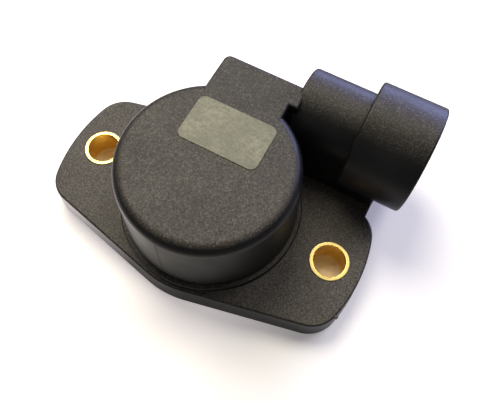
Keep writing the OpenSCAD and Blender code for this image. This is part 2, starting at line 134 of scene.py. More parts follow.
class FinishColours(bpy.types.PropertyGroup):
    """Colours of the finishes"""

    moulding: colour("Moulding", "Black moulding on walls", (0.0060, 0.0058, 0.0064))
    moulding_level: colour("Etched moulding", "Dusty etched moulding on level faces", (0.127, 0.116, 0.089))
    moulding_speck: colour("Moulding specks", "Pale fibre specks in the moulding", (0.170, 0.158, 0.132))
    scratch: colour("Scratches", "Fine scratches on the drum's top", (0.22, 0.21, 0.19))
    brass: colour("Brass", "Bushes", (0.58, 0.46, 0.18))
    # the bore's colour is painted light: brighter, more orange brass that stands in for the reflections inside the
    # bushes
    brass_bore_painted_light: colour("Brass bore", "Inside of the bushes", (1.0, 0.70, 0.17))
    brass_spot: colour("Brass spots", "Dull spots on the bushes", (0.52, 0.38, 0.16))
    foil: colour("Foil", "Label foil", (0.212, 0.210, 0.145))
    plate: colour("Plate", "Closure plate", (0.030, 0.030, 0.031))
    rubber: colour("Rubber", "Seals", (0.012, 0.012, 0.013))
    natural: colour("Natural plastic", "Rotor", (0.62, 0.58, 0.47))
    steel: colour("Steel", "Springs and washers", (0.56, 0.56, 0.58))
    contact: colour("Contact metal", "Wiper", (0.83, 0.66, 0.36))
    ceramic: colour("Ceramic", "Element board", (0.74, 0.72, 0.66))
    carbon: colour("Carbon", "Printed tracks", (0.022, 0.022, 0.025))
    silver: colour("Silver print", "Printed conductors", (0.68, 0.67, 0.66))
    tinned: colour("Tinned strip", "Terminals and rivets", (0.66, 0.64, 0.60))
    # floor, floor_lit and ground paint shade on the floor: darker and warmer away from the lamps, warm shade seen
    # through the holes
    floor: colour("Floor", "Studio floor on the side away from the lamps", (0.90, 0.89, 0.87))
    floor_lit: colour("Lit floor", "Studio floor on the side of the lamps", (0.97, 0.97, 0.97))
    ground: colour("Ground", "What shows through the mounting holes", (0.78, 0.70, 0.60))


class StudioSettings(bpy.types.PropertyGroup):
    """Lamps and camera"""

    key_power: bpy.props.FloatProperty(
        name="Key lamp", description="Power of the large lamp at the back on the left", default=4.9, unit="POWER")
    fill_power: bpy.props.FloatProperty(
        name="Fill lamp", description="Power of the lamp at the back on the right", default=1.3, unit="POWER")
    cool_power: bpy.props.FloatProperty(
        name="Cool lamp", description="Power of the low cool lamp behind", default=5.4, unit="POWER")
    below_power: bpy.props.FloatProperty(
        name="Lamp below", description="Power of the lamp that lights the underside alone", default=3.0, unit="POWER")
    sky: bpy.props.FloatProperty(name="Sky", description="Strength of the light from all round", default=0.16)
    floor_glow: bpy.props.FloatProperty(
        name="Floor glow", description="Brightness added to the floor as it is seen or mirrored", default=0.25)
    lens: bpy.props.FloatProperty(
        name="Lens", description="Focal length of the camera", default=37.0, unit="CAMERA")


# Modelling tools


def to_object_mode():
    """Leaves edit mode and deselects everything."""
    if bpy.context.object and bpy.context.object.mode != "OBJECT":
        bpy.ops.object.mode_set(mode="OBJECT")
    bpy.ops.object.select_all(action="DESELECT")


def make_active(piece):
    to_object_mode()
    bpy.context.view_layer.objects.active = piece
    piece.select_set(True)


def settle(piece):
    """Puts a piece's place, turn and size into its mesh."""
    make_active(piece)
    bpy.ops.object.transform_apply(location=True, rotation=True, scale=True)


def rod(radius, start, end, at=(0.0, 0.0), end_radius=None, steps=96, along="Z"):
    """A round bar along Z at (x, y), or along X at (y, z)."""
    to_object_mode()
    middle = (start + end) / 2
    place = (at[0], at[1], middle) if along == "Z" else (middle, at[0], at[1])
    turn = (0, 0, 0) if along == "Z" else (0, math.pi / 2, 0)
    top = radius if end_radius is None else end_radius
    bpy.ops.mesh.primitive_cone_add(
        vertices=steps, radius1=radius, radius2=top, depth=end - start, end_fill_type="NGON",
        location=place, rotation=turn)
    piece = bpy.context.object
    settle(piece)
    return piece


def block(low, high):
    """A box between two corners."""
    to_object_mode()
    middle = [(a + b) / 2 for a, b in zip(low, high)]
    bpy.ops.mesh.primitive_cube_add(size=1, location=middle)
    piece = bpy.context.object
    piece.scale = [b - a for a, b in zip(low, high)]
    settle(piece)
    return piece


def pick_edges(piece, wanted):
    """Selects the edges whose two ends pass the test, in edit mode."""
    make_active(piece)
    bpy.ops.object.mode_set(mode="EDIT")
    bpy.ops.mesh.select_mode(type="EDGE")
    bpy.ops.mesh.select_all(action="DESELECT")
    bpy.ops.object.mode_set(mode="OBJECT")
    points = [v.co.copy() for v in piece.data.vertices]
    found = 0
    for edge in piece.data.edges:
        a, b = (points[i] for i in edge.vertices)
        edge.select = bool(wanted(a, b))
        found += edge.select
    if not found:
        raise RuntimeError(f"{piece.name}: no edge is where the bevel expects one")
    bpy.ops.object.mode_set(mode="EDIT")


def round_edges(piece, width, steps, wanted):
    """Rounds the edges whose two ends pass the test."""
    pick_edges(piece, wanted)
    bpy.ops.mesh.bevel(offset=width, segments=steps, profile=0.5, affect="EDGES", clamp_overlap=True)
    to_object_mode()
    return piece


NEAR = 1e-4  # mm within which two places count as the same


def at_height(z):
    return lambda a, b: abs(a.z - z) < NEAR and abs(b.z - z) < NEAR


def at_x(x):
    return lambda a, b: abs(a.x - x) < NEAR and abs(b.x - x) < NEAR


def upright(rise=1.0):
    """The edges whose ends differ in height by more than the rise."""
    return lambda a, b: abs(a.z - b.z) > rise


def turn_piece(piece, degrees, axis="Z", place=(0, 0, 0)):
    """Turns a piece about the origin, then moves it, and puts both into its mesh."""
    piece.matrix_world = Matrix.Translation(place) @ Matrix.Rotation(math.radians(degrees), 4, axis)
    settle(piece)
    return piece


def combine(piece, tool, operation):
    """Adds, cuts or keeps the overlap with another solid, which is used up."""
    make_active(piece)
    step = piece.modifiers.new("combine", "BOOLEAN")
    step.operation = operation
    step.solver = "EXACT"
    step.object = tool
    bpy.ops.object.modifier_apply(modifier=step.name)
    make_active(tool)
    bpy.ops.object.delete()
    return piece


def add(piece, *tools):
    for tool in tools:
        combine(piece, tool, "UNION")
    return piece


def cut(piece, *tools):
    for tool in tools:
        combine(piece, tool, "DIFFERENCE")
    return piece


def join(pieces):
    """Makes one piece of several without merging their solids."""
    make_active(pieces[0])
    for piece in pieces[1:]:
        piece.select_set(True)
    bpy.ops.object.join()
    return bpy.context.object


def copy_moved(piece, offset):
    make_active(piece)
    bpy.ops.object.duplicate()
    twin = bpy.context.object
    bpy.ops.transform.translate(value=offset)
    settle(twin)
    return twin


WELD = 0.002  # mm under which neighbouring points become one


def finish(piece, name, body, nodes, material, crease=32):
    """Cleans a solid, scales it to metres, shades it and hands it to the frame."""
    make_active(piece)
    bpy.ops.object.mode_set(mode="EDIT")
    bpy.ops.mesh.select_all(action="SELECT")
    bpy.ops.mesh.remove_doubles(threshold=WELD)
    bpy.ops.mesh.dissolve_degenerate(threshold=WELD / 2)
    bpy.ops.mesh.normals_make_consistent(inside=False)
    to_object_mode()
    make_active(piece)
    bpy.ops.transform.resize(value=(1 / MM,) * 3, center_override=(0, 0, 0))
    settle(piece)
    bpy.ops.object.shade_smooth_by_angle(angle=math.radians(crease))
    step = piece.modifiers.new("even", "WEIGHTED_NORMAL")
    step.keep_sharp = True
    step.weight = 60
    bpy.ops.object.modifier_apply(modifier=step.name)
    piece.name = name
    piece.data.name = name
    piece.data.materials.clear()
    piece.data.materials.append(material)
    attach(piece, body)
    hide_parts(*nodes)
    return piece


# Shader tools


def node(tree, kind, inputs=None, **settings):
    made = tree.nodes.new(kind)
    for key, value in settings.items():
        setattr(made, key, value)
    for key, value in (inputs or {}).items():
        if isinstance(value, bpy.types.NodeSocket):
            tree.links.new(value, made.inputs[key])
        else:
            made.inputs[key].default_value = value
    return made


def math_node(tree, operation, a, b=0.0, c=0.0, clamp=False):
    made = node(tree, "ShaderNodeMath", {0: a, 1: b, 2: c}, operation=operation, use_clamp=clamp)
    return made.outputs[0]


def spread(tree, value, low, high, to_low=0.0, to_high=1.0):
    """Maps low to to_low and high to to_high, held at both ends."""
    made = node(tree, "ShaderNodeMapRange", {0: value, 1: low, 2: high, 3: to_low, 4: to_high}, clamp=True)
    return made.outputs[0]


def blend_colour(tree, amount, a, b):
    made = node(tree, "ShaderNodeMix", data_type="RGBA")
    for index, value in ((0, amount), (6, a), (7, b)):
        if isinstance(value, bpy.types.NodeSocket):
            tree.links.new(value, made.inputs[index])
        else:
            made.inputs[index].default_value = value if index == 0 else (*value, 1.0)
    return made.outputs[2]


def new_group(name, inputs, outputs):
    tree = bpy.data.node_groups.new(name, "ShaderNodeTree")
    for label, kind, default in inputs:
        socket = tree.interface.new_socket(name=label, in_out="INPUT", socket_type=kind)
        socket.default_value = default
    for label in outputs:
        tree.interface.new_socket(name=label, in_out="OUTPUT", socket_type="NodeSocketFloat")
    return tree, tree.nodes.new("NodeGroupInput"), tree.nodes.new("NodeGroupOutput")


FLOAT, VECTOR = "NodeSocketFloat", "NodeSocketVector"


def noise(tree, place, scale, detail=3.0, rough=0.55):
    made = node(tree, "ShaderNodeTexNoise", {
        "Vector": place, "Scale": scale, "Detail": detail, "Roughness": rough})
    return made.outputs[0]


def moulded_grain_group():
    """Etched mould texture: pale specks, a height and a slow change of tone."""
    tree, given, out = new_group("Moulded grain", [("Size", FLOAT, 0.0003), ("Density", FLOAT, 0.5)],
                                 ["Specks", "Height", "Tone"])
    place = node(tree, "ShaderNodeTexCoord").outputs["Object"]
    scale = math_node(tree, "DIVIDE", 1.0, given.outputs["Size"])
    fine = noise(tree, place, scale, 2.0, 0.6)
    finer = noise(tree, place, math_node(tree, "MULTIPLY", scale, 2.3), 2.0, 0.6)
    mixed = math_node(tree, "MULTIPLY_ADD", fine, 0.65, math_node(tree, "MULTIPLY", finer, 0.35))
    edge = math_node(tree, "SUBTRACT", 1.0, given.outputs["Density"])
    low = math_node(tree, "MULTIPLY_ADD", edge, 0.2, 0.42)
    specks = spread(tree, mixed, low, math_node(tree, "ADD", low, 0.16))
    tree.links.new(specks, out.inputs["Specks"])
    tree.links.new(mixed, out.inputs["Height"])
    tree.links.new(noise(tree, place, 150.0, 4.0, 0.6), out.inputs["Tone"])
    return tree


def scratch_group():
    """One fine straight scratch on a level face."""
    tree, given, out = new_group(
        "Scratch", [("Middle", VECTOR, (0.0, 0.0, 0.0)), ("Angle", FLOAT, 0.0),
                    ("Half length", FLOAT, 0.002), ("Half width", FLOAT, 0.00008)], ["Mask"])
    place = node(tree, "ShaderNodeTexCoord").outputs["Object"]
    away = node(tree, "ShaderNodeVectorMath", {0: place, 1: given.outputs["Middle"]}, operation="SUBTRACT")
    turned = node(tree, "ShaderNodeVectorRotate", {"Vector": away.outputs[0], "Angle": given.outputs["Angle"]},
                  rotation_type="Z_AXIS")
    parts = node(tree, "ShaderNodeSeparateXYZ", {0: turned.outputs[0]})
    across = math_node(tree, "ABSOLUTE", parts.outputs["Y"])
    along = math_node(tree, "ABSOLUTE", parts.outputs["X"])
    above = math_node(tree, "ABSOLUTE", parts.outputs["Z"])
    thin, ends = (
        math_node(tree, "SUBTRACT", 1.0, math_node(tree, "DIVIDE", value, given.outputs[limit]), clamp=True)
        for value, limit in ((across, "Half width"), (along, "Half length")))
    ends = math_node(tree, "MULTIPLY", ends, 3.0, clamp=True)
    level = math_node(tree, "LESS_THAN", above, 0.0004)
    broken = spread(tree, noise(tree, place, 2600.0, 2.0), 0.42, 0.6, 0.15, 1.0)
    mask = math_node(tree, "MULTIPLY", math_node(tree, "MULTIPLY", thin, ends), level)
    tree.links.new(math_node(tree, "MULTIPLY", mask, broken), out.inputs["Mask"])
    return tree


def turned_rings_group():
    """Fine turning marks round the nearer of two upright axes at plus and minus Offset along X."""
    tree, given, out = new_group("Turned rings", [("Offset", FLOAT, 0.0), ("Pitch", FLOAT, 0.0001)],
                                 ["Height", "Radius"])
    place = node(tree, "ShaderNodeTexCoord").outputs["Object"]
    parts = node(tree, "ShaderNodeSeparateXYZ", {0: place})
    side = math_node(tree, "SUBTRACT", math_node(tree, "ABSOLUTE", parts.outputs["X"]),
                     given.outputs["Offset"])
    flat = node(tree, "ShaderNodeCombineXYZ", {0: side, 1: parts.outputs["Y"]})
    radius = node(tree, "ShaderNodeVectorMath", {0: flat.outputs[0]}, operation="LENGTH").outputs["Value"]
    turns = math_node(tree, "DIVIDE", math_node(tree, "ADD", radius, parts.outputs["Z"]),
                      given.outputs["Pitch"])
    wave = math_node(tree, "SINE", math_node(tree, "MULTIPLY", turns, math.tau))
    wander = noise(tree, place, 900.0, 2.0)
    height = math_node(tree, "MULTIPLY_ADD", wave, 0.5, wander)
    tree.links.new(height, out.inputs["Height"])
    tree.links.new(radius, out.inputs["Radius"])
    return tree


def rolled_strip_group():
    """Fine rolling lines along one direction of a metal strip, with dull spots."""
    tree, given, out = new_group("Rolled strip", [("Stretch", VECTOR, (1.0, 8.0, 8.0)), ("Scale", FLOAT, 400.0)],
                                 ["Lines", "Spots"])
    place = node(tree, "ShaderNodeTexCoord").outputs["Object"]
    drawn = node(tree, "ShaderNodeVectorMath", {0: place, 1: given.outputs["Stretch"]}, operation="MULTIPLY")
    lines = noise(tree, drawn.outputs[0], given.outputs["Scale"], 4.0, 0.6)
    tree.links.new(lines, out.inputs["Lines"])
    tree.links.new(noise(tree, place, 260.0, 4.0), out.inputs["Spots"])
    return tree


GROUP_MAKERS = {"Moulded grain": moulded_grain_group, "Scratch": scratch_group,
                "Turned rings": turned_rings_group, "Rolled strip": rolled_strip_group}
GROUPS = {}
FINISHES = {}


def grouped(tree, name, inputs=None):
    """Places a shared node group, built once, with its own values."""
    if name not in GROUPS:
        GROUPS[name] = GROUP_MAKERS[name]()
    made = tree.nodes.new("ShaderNodeGroup")
    made.node_tree = GROUPS[name]
    for key, value in (inputs or {}).items():
        made.inputs[key].default_value = value
    return made


def new_finish(name):
    made = bpy.data.materials.new(name)
    made.use_nodes = True
    return made, made.node_tree, made.node_tree.nodes["Principled BSDF"]


def connect(tree, shader, base, rough, height=None, strength=0.3, distance=0.00003):
    tree.links.new(base, shader.inputs["Base Color"])
    tree.links.new(rough, shader.inputs["Roughness"])
    if height is not None:
        bump = node(tree, "ShaderNodeBump", {"Strength": strength, "Distance": distance, "Height": height})
        tree.links.new(bump.outputs[0], shader.inputs["Normal"])


def mixed_tone(rgb, factor):
    return tuple(min(1.0, c * factor) for c in rgb)


BLACK = (0.0, 0.0, 0.0)
SCRATCHES = (  # middle in metres, angle and half length of each scratch on the drum's top
    ((-0.0072, -0.0040, 0.0209), math.radians(96), 0.0016),
    ((-0.0046, -0.0085, 0.0209), math.radians(92), 0.0028),
    ((-0.0036, -0.0077, 0.0209), math.radians(99), 0.0012))


def etched_colour(tree, grain, pale):
    """Dusty grains between dark pits, darker on all that stands higher than the flange, with a painted shade that
    deepens towards the arm.
    """
    place = node(tree, "ShaderNodeTexCoord").outputs["Object"]
    parts = node(tree, "ShaderNodeSeparateXYZ", {0: place})
    hue = spread(tree, noise(tree, place, 2100.0, 2.0), 0.35, 0.65)
    dust = blend_colour(tree, hue, mixed_tone(pale, 0.92), (pale[0] * 1.1, pale[1], pale[2] * 1.18))
    pits = spread(tree, grain.outputs["Height"], 0.36, 0.64)
    etched = blend_colour(tree, pits, mixed_tone(pale, 0.15), dust)
    # painted shade: above the flange the moulding is blended towards black, more from the front towards the arm
    darkening_with_painted_shade = math_node(tree, "MULTIPLY_ADD", spread(tree, parts.outputs["Y"], 0.0, 0.014), 0.25, 0.38)
    shade = math_node(tree, "MULTIPLY", spread(tree, parts.outputs["Z"], 0.0046, 0.0058), darkening_with_painted_shade)
    return blend_colour(tree, shade, etched, BLACK)


def scratch_marks(tree):
    """All the scratches in one mask."""
    marks = None
    for middle, angle, half in SCRATCHES:
        mark = grouped(tree, "Scratch", {"Middle": middle, "Angle": angle, "Half length": half}).outputs[0]
        marks = mark if marks is None else math_node(tree, "MAXIMUM", marks, mark)
    return marks


def black_moulding(colours):
    """Glass-filled black moulding: etched level faces, smoother walls, slow warm and cool tone."""
    made, tree, shader = new_finish("Black moulding")
    grain = grouped(tree, "Moulded grain", {"Size": 0.00027, "Density": 0.42})
    normal = node(tree, "ShaderNodeNewGeometry").outputs["Normal"]
    up = node(tree, "ShaderNodeSeparateXYZ", {0: normal}).outputs["Z"]
    level = spread(tree, math_node(tree, "ABSOLUTE", up), 0.78, 0.99)
    specks = math_node(
        tree, "MULTIPLY", grain.outputs["Specks"], math_node(tree, "MULTIPLY_ADD", level, 0.5, 0.06))

    wall = blend_colour(tree, spread(tree, grain.outputs["Tone"], 0.35, 0.65),
                        mixed_tone(colours.moulding, 0.8), mixed_tone(colours.moulding, 1.3))
    base = blend_colour(tree, level, wall, etched_colour(tree, grain, colours.moulding_level))
    base = blend_colour(tree, specks, base, tuple(colours.moulding_speck))
    base = blend_colour(tree, math_node(tree, "MULTIPLY", scratch_marks(tree), 0.45), base,
                        tuple(colours.scratch))

    rough = math_node(
        tree, "MULTIPLY_ADD", level, 0.14, spread(tree, grain.outputs["Tone"], 0.3, 0.7, 0.36, 0.46))
    rough = math_node(tree, "MULTIPLY_ADD", specks, -0.06, rough)
    height = math_node(
        tree, "MULTIPLY", grain.outputs["Height"], math_node(tree, "MULTIPLY_ADD", level, 0.7, 0.3))
    shader.inputs["Specular IOR Level"].default_value = 0.3
    connect(tree, shader, base, rough, height, 0.55, 0.00005)
    return made


def plain_plastic(name, rgb, rough_low, rough_high, size, bump):
    """Smooth moulded plastic or rubber with faint flow tone and a fine skin."""
    made, tree, shader = new_finish(name)
    grain = grouped(tree, "Moulded grain", {"Size": size, "Density": 0.35})
    tone = spread(tree, grain.outputs["Tone"], 0.3, 0.7)
    base = blend_colour(tree, tone, mixed_tone(rgb, 0.85), mixed_tone(rgb, 1.12))
    base = blend_colour(tree, math_node(tree, "MULTIPLY", grain.outputs["Specks"], 0.25), base,
                        mixed_tone(rgb, 1.6))
    rough = math_node(tree, "MULTIPLY_ADD", grain.outputs["Height"], rough_high - rough_low, rough_low)
    connect(tree, shader, base, rough, grain.outputs["Height"], bump, 0.00003)
    return made


def turned_brass(colours):
    """Bright turned brass with fine rings, dull spots and a smoother bore painted brighter and warmer, painted light
    that stands in for the reflections inside it.
    """
    made, tree, shader = new_finish("Turned brass")
    half = bpy.context.scene.housing_sizes.hole_spacing / 2
    rings = grouped(tree, "Turned rings", {"Offset": half, "Pitch": 0.00011})
    spots = grouped(tree, "Rolled strip", {"Scale": 900.0, "Stretch": (1.0, 1.0, 1.0)})
    bore = spread(tree, rings.outputs["Radius"], 0.0029, 0.00305, 1.0, 0.0)
    # painted light: the bore gets the brighter, more orange brass
    base = blend_colour(tree, bore, tuple(colours.brass), tuple(colours.brass_bore_painted_light))
    base = blend_colour(tree, spread(tree, spots.outputs["Spots"], 0.5, 0.75, 0.0, 0.4), base,
                        tuple(colours.brass_spot))
    rough = spread(tree, spots.outputs["Lines"], 0.3, 0.7, 0.26, 0.42)
    rough = math_node(tree, "MULTIPLY", rough, math_node(tree, "MULTIPLY_ADD", bore, -0.35, 1.0))
    shader.inputs["Metallic"].default_value = 1.0
    connect(tree, shader, base, rough, rings.outputs["Height"], 0.12, 0.000004)
    return made


def label_foil(colours):
    """Matt grey-green foil, mottled in slow patches, with fine dark lines and pale specks."""
    made, tree, shader = new_finish("Label foil")
    grain = grouped(tree, "Moulded grain", {"Size": 0.00038, "Density": 0.55})
    strip = grouped(tree, "Rolled strip", {"Scale": 1100.0, "Stretch": (1.0, 1.4, 1.0)})
    patches = spread(tree, grain.outputs["Tone"], 0.36, 0.64)
    base = blend_colour(tree, patches, mixed_tone(colours.foil, 0.60), mixed_tone(colours.foil, 1.25))
    base = blend_colour(tree, spread(tree, strip.outputs["Lines"], 0.38, 0.62, 0.0, 0.85),
                        mixed_tone(colours.foil, 0.55), base)
    base = blend_colour(tree, math_node(tree, "MULTIPLY", grain.outputs["Specks"], 0.4), base,
                        mixed_tone(colours.foil, 1.5))
    rough = spread(tree, strip.outputs["Lines"], 0.3, 0.7, 0.5, 0.68)
    shader.inputs["Metallic"].default_value = 0.12
    connect(tree, shader, base, rough, grain.outputs["Height"], 0.25, 0.00003)
    return made


def strip_metal(name, rgb, metallic, rough_low, rough_high, stretch, scale):
    """Rolled or printed metal with lines along one direction and dull spots."""
    made, tree, shader = new_finish(name)
    strip = grouped(tree, "Rolled strip", {"Scale": scale, "Stretch": stretch})
    base = blend_colour(tree, spread(tree, strip.outputs["Spots"], 0.35, 0.7),
                        mixed_tone(rgb, 1.05), mixed_tone(rgb, 0.75))
    rough = spread(tree, strip.outputs["Lines"], 0.3, 0.7, rough_low, rough_high)
    shader.inputs["Metallic"].default_value = metallic
    connect(tree, shader, base, rough, strip.outputs["Lines"], 0.2, 0.00001)
    return made


def make_finishes():
    """Builds every finish once."""
    c = bpy.context.scene.finish_colours
    FINISHES["black_moulding"] = black_moulding(c)
    FINISHES["brass"] = turned_brass(c)
    FINISHES["foil"] = label_foil(c)
    FINISHES["dark_plate"] = plain_plastic("Plate moulding", c.plate, 0.42, 0.62, 0.0003, 0.4)
    FINISHES["rubber"] = plain_plastic("Seal rubber", c.rubber, 0.5, 0.75, 0.0002, 0.25)
    FINISHES["natural_plastic"] = plain_plastic("Natural plastic", c.natural, 0.34, 0.5, 0.0004, 0.2)
    FINISHES["board"] = plain_plastic("Ceramic board", c.ceramic, 0.5, 0.7, 0.00015, 0.3)
    FINISHES["steel"] = strip_metal("Rolled steel", c.steel, 1.0, 0.25, 0.4, (1.0, 1.0, 9.0), 300.0)
    FINISHES["contact_metal"] = strip_metal("Contact metal", c.contact, 1.0, 0.2, 0.35, (9.0, 1.0, 1.0), 400.0)
    FINISHES["carbon"] = strip_metal("Carbon print", c.carbon, 0.0, 0.5, 0.7, (1.0, 1.0, 1.0), 2500.0)
    FINISHES["silver_print"] = strip_metal("Silver print", c.silver, 0.8, 0.35, 0.55, (1.0, 1.0, 1.0), 2000.0)
    FINISHES["tinned"] = strip_metal("Tinned strip", c.tinned, 1.0, 0.22, 0.38, (1.0, 6.0, 6.0), 500.0)


# Pieces


# Lengths in millimetres that more than one function needs
FLANGE_EDGE = 0.38  # rounding of the flange's upper edge
BODY_EDGE = 0.5  # rounding of the arm, its neck and the collar
DRUM_START = 1  # height inside the flange at which the drum begins
PLATE_STEP = 1.5  # width of the step round the drum's space that seats the closure plate
ARM_WALL = 1.5  # wall of the arm
TAB_WALL = 0.7  # what is left of it beside the closure plate's tab
PLATE_PLAY = 0.08  # gap round the closure plate and beside the face seal
BEND_STEP = 1.2  # distance between the bends of neighbouring terminals
BLADE_START = 11  # X beyond which the blades show in the socket
BARREL_BORE = 5.5  # radius of the space in the barrel
MOUTH_BORE = 7.6  # radius of the wider space in the collar


def flange_outline(s):
    """The flange as the hull of its end arcs, its four corners and its waist, all a little wider below."""
    top, draft = s.flange_height * MM, s.draft * MM
    end, corner, waist = s.end_radius * MM, s.corner_radius * MM, s.waist_radius * MM
    reach = end - corner
    lean = math.pi / 2 - math.acos((waist - corner) / reach)
    turns = {-1: lean - s.side_slope, 1: lean - s.back_slope}
    ends = rod(end + draft, 0, top, end_radius=end, steps=360)
    make_active(ends)
    bpy.ops.object.mode_set(mode="EDIT")
    bpy.ops.mesh.select_mode(type="VERT")
    bpy.ops.mesh.select_all(action="DESELECT")
    bpy.ops.object.mode_set(mode="OBJECT")
    for vertex in ends.data.vertices:
        x, y = vertex.co.x, vertex.co.y
        vertex.select = math.atan2(abs(y), abs(x)) > turns[1 if y > 0 else -1]
    bpy.ops.object.mode_set(mode="EDIT")
    bpy.ops.mesh.delete(type="VERT")
    to_object_mode()
    corners = [rod(corner + draft, 0, top, end_radius=corner, steps=96,
                   at=(sx * reach * math.cos(turns[sy]), sy * reach * math.sin(turns[sy])))
               for sx in (-1, 1) for sy in (-1, 1)]
    plate = join([ends, rod(waist + draft, 0, top, end_radius=waist, steps=240)] + corners)
    make_active(plate)
    bpy.ops.object.mode_set(mode="EDIT")
    bpy.ops.mesh.select_all(action="SELECT")
    bpy.ops.mesh.convex_hull()
    bpy.ops.mesh.select_all(action="SELECT")
    bpy.ops.mesh.remove_doubles(threshold=0.01)
    bpy.ops.mesh.dissolve_limited(angle_limit=math.radians(0.2))
    to_object_mode()
    round_edges(plate, FLANGE_EDGE, 4, at_height(top))
    round_edges(plate, 0.15, 2, at_height(0))
    return plate


def drum_taper(s):
    """The drum's radius where it begins, and how much it narrows for each millimetre of height."""
    top, high = s.flange_height * MM, s.drum_height * MM
    slope = (s.drum_foot - s.drum_top) * MM / (high - s.rim * MM - top - s.ring_height * MM)
    return s.drum_foot * MM + slope * (top + s.ring_height * MM - DRUM_START), slope


def drum_cone(s, proud=0.0):
    """The drum's wall as a solid, proud of the real one by a small amount."""
    high = s.drum_height * MM
    radius, slope = drum_taper(s)
    return rod(radius + proud, DRUM_START, high, steps=160,
               end_radius=radius + proud - slope * (high - DRUM_START))


def drum_solids(s):
    """The low ring round the drum's foot, and the drum with its rounded rim."""
    ring_top = s.flange_height * MM + s.ring_height * MM
    ring = rod(s.ring_radius * MM + 0.18, 0, ring_top, end_radius=s.ring_radius * MM, steps=160)
    round_edges(ring, 0.25, 3, at_height(ring_top))
    shell = drum_cone(s)
    round_edges(shell, s.rim * MM, 8, at_height(s.drum_height * MM))
    return ring, shell


def socket_axis(s):
    """Y and height of the socket's axis."""
    return s.socket_y * MM, s.socket_z * MM


def shelf_corner(s):
    """The square corner of the flange in front of the connector block."""
    top = s.flange_height * MM
    corner = block((10, 4, 0), (s.shelf * MM, s.socket_y * MM - s.barrel * MM + 1, top))
    return round_edges(corner, FLANGE_EDGE, 4, at_height(top))


def arm_solids(s):
    """The arm, its neck, and the two webs that carry the barrel's closed end."""
    y, z = socket_axis(s)
    left, right, back, neck = (v * MM for v in (s.arm_left, s.arm_right, s.arm_back, s.neck_front))
    high, barrel, start = s.drum_height * MM, s.barrel * MM, s.barrel_start * MM
    arm = block((left, 0, 0), (right, back, high))
    round_edges(arm, 1.2, 6, lambda a, b: upright()(a, b) and a.y > 1 and a.x < 0)
    round_edges(arm, BODY_EDGE, 4, at_height(high))
    bridge = block((0, neck, 0), (start + 1, back, high))
    round_edges(bridge, BODY_EDGE, 4, at_height(high))
    inset = 0.4
    web = rod(barrel - inset, 2, start + 1, at=(y, z), steps=96, along="X")
    combine(web, block((0, y - barrel + inset, -1), (start + 2, back - 0.5, high)), "INTERSECT")
    low_web = block((0, y - barrel + inset, 0), (start + 1, back, z))
    return arm, bridge, web, low_web


def socket_solids(s):
    """The connector block, the plain barrel and the thicker collar."""
    y, z = socket_axis(s)
    barrel, start, step, mouth = (v * MM for v in (s.barrel, s.barrel_start, s.collar_start, s.mouth))
    base = block((start, y - barrel, 0), (s.shelf * MM, y + barrel, z))
    round_edges(base, 0.3, 3, upright())
    pipe = rod(barrel, start, step + 2, at=(y, z), steps=144, along="X")
    round_edges(pipe, 0.45, 4, at_x(start))
    collar = rod(s.collar * MM, step, mouth, at=(y, z), steps=160, along="X")
    for x in (step, mouth):
        round_edges(collar, BODY_EDGE, 4, at_x(x))
    return base, pipe, collar


def hollow_out(body, s, f):
    """Opens the drum and the arm from below, and steps them for the board and the closure plate."""
    left, right, back, cavity = (v * MM for v in (s.arm_left, s.arm_right, s.arm_back, s.cavity))
    half_strip, board_gap, board, top_inset, roof = f.strip_thickness * MM / 2, 0.05, 0.8, 1.4, 2.2
    ledge = s.socket_z * MM + half_strip + board_gap + board
    inner = block((left + ARM_WALL, 0, -1), (right - ARM_WALL, back - ARM_WALL, ledge))
    tab = block((left + TAB_WALL, 0, -1), (right - TAB_WALL, back - TAB_WALL, PLATE_HIGH.z * MM))
    seat = rod(cavity + PLATE_STEP, -1, PLATE_HIGH.z * MM, steps=160)
    above = rod(cavity - top_inset, ledge - 1, s.drum_height * MM - roof, steps=96)
    cut(body, rod(cavity, -1, ledge, steps=128), inner, seat, tab, above)


def open_socket(body, s):
    """Bores the barrel and the collar, and opens the collar's mouth."""
    axis, mouth = socket_axis(s), s.mouth * MM
    barrel_floor, mouth_floor, lead_depth, lead_small, lead_large = 11.4, 19.8, 0.8, 7.2, 9.0
    cut(body, rod(BARREL_BORE, barrel_floor, mouth_floor + 0.2, at=axis, steps=96, along="X"))
    wide = rod(MOUTH_BORE, mouth_floor, mouth + 1, at=axis, steps=128, along="X")
    lead = rod(lead_small, mouth - lead_depth, mouth + 1, at=axis, end_radius=lead_large, steps=128, along="X")
    cut(body, wide, lead)


def key_rib(s, angle):
    """One of the ribs inside the collar that let the plug in one way round."""
    start, half, inner, outer = 18.8, 0.75, 6.6, 8.0
    rib = block((start, -half, inner), (s.mouth * MM - 0.5, half, outer))
    round_edges(rib, 0.2, 2, lambda a, b: abs(a.x - b.x) > 1 and a.z < 7)
    return turn_piece(rib, angle, "X", (0, *socket_axis(s)))


def block_pockets(s):
    """The six spaces that keep the connector block's walls even, open from below."""
    y, z = socket_axis(s)
    barrel, start, shelf = s.barrel * MM, s.barrel_start * MM, s.shelf * MM
    wall, gap = 1.4, 1.2
    wide = barrel - wall - gap / 2
    long = (shelf - start - 2 * wall - 3 * gap) / 3
    pockets = []
    for i in range(3):
        deep = z - (MOUTH_BORE if i == 2 else BARREL_BORE) - 1.4 * wall
        x = start + wall + i * (long + 1.5 * gap)
        for front in (y - gap / 2 - wide, y + gap / 2):
            pocket = block((x, front, -1), (x + long, front + wide, deep))
            pockets.append(round_edges(pocket, 0.3, 2, upright()))
    return pockets


def parting_line(s):
    """The fine line that the mould leaves on the drum's front wall."""
    low, high = s.flange_height * MM + 0.5, s.drum_height * MM - s.rim * MM - 0.2
    front = -drum_taper(s)[0]
    line = turn_piece(block((-0.06, front - 1, low), (0.06, front + 1.5, high)), -2)
    return combine(line, drum_cone(s, proud=0.05), "INTERSECT")


def edge_burr(s):
    """The small burr at the flange's front right corner."""
    end, top = s.end_radius * MM, s.flange_height * MM
    return turn_piece(block((end - 0.5, -0.22, top - 0.7), (end + 0.45, 0.22, top - 0.1)), -16)


